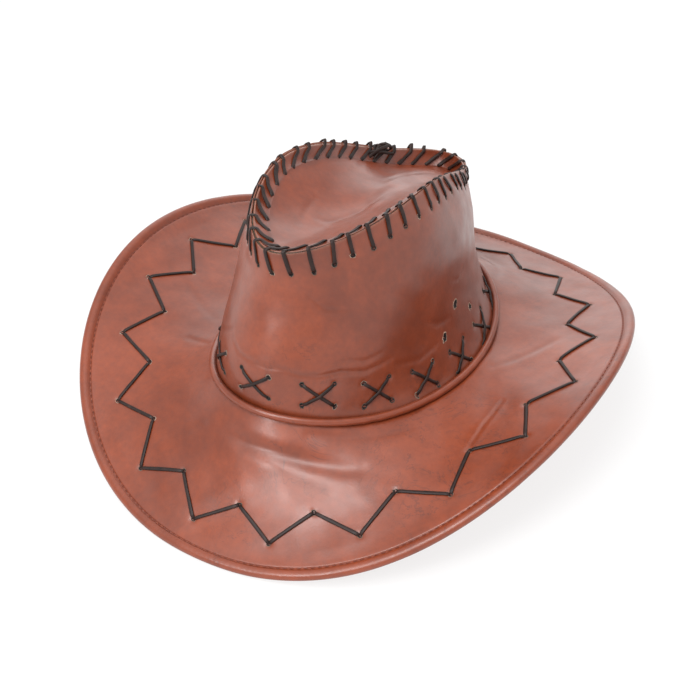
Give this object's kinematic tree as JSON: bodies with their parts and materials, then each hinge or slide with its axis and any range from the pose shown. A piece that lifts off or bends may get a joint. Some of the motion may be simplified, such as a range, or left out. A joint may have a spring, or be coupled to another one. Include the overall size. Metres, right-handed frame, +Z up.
{
  "type": "cowboy hat",
  "caption": "Cowboy hat in red-brown faux leather with a dished top panel, a curled brim and dark laces along the rim, the crown's base and the brim",
  "frame": {"origin": "bounding box bottom centre: the level of the table, midway between the brim's ends and sides", "axes": "+X the wearer's left, +Y the back of the hat, +Z up"},
  "size_m": [0.3308, 0.3616, 0.1558],
  "materials": {
    "red_brown_leather": "satin, finely creased",
    "dark_lace": "waxed, dark brown",
    "pale_backing": "matt woven backing",
    "stiff_board": "matt board",
    "edge_wire_steel": "drawn wire",
    "sweatband_fabric": "matt ribbed band",
    "sewing_thread": "twisted thread"
  },
  "bodies": {
    "root": {"brim_top_cover": "red_brown_leather", "brim_core": "stiff_board", "brim_under_cover": "red_brown_leather", "brim_edge_roll": "red_brown_leather", "brim_edge_wire": "edge_wire_steel", "brim_lace": "dark_lace", "hem_thread": "sewing_thread", "crown_wall": "red_brown_leather", "crown_wall_backing": "pale_backing", "back_seam_tape": "pale_backing", "back_seam_thread": "sewing_thread", "crown_top_panel": "red_brown_leather", "crown_top_backing": "pale_backing", "crown_rim_lace": "dark_lace", "crown_lace_knot": "dark_lace", "cross_lace_first": "dark_lace", "cross_lace_second": "dark_lace", "base_piping": "red_brown_leather", "sweatband": "sweatband_fabric", "sweatband_thread": "sewing_thread"}
  },
  "joints": []
}
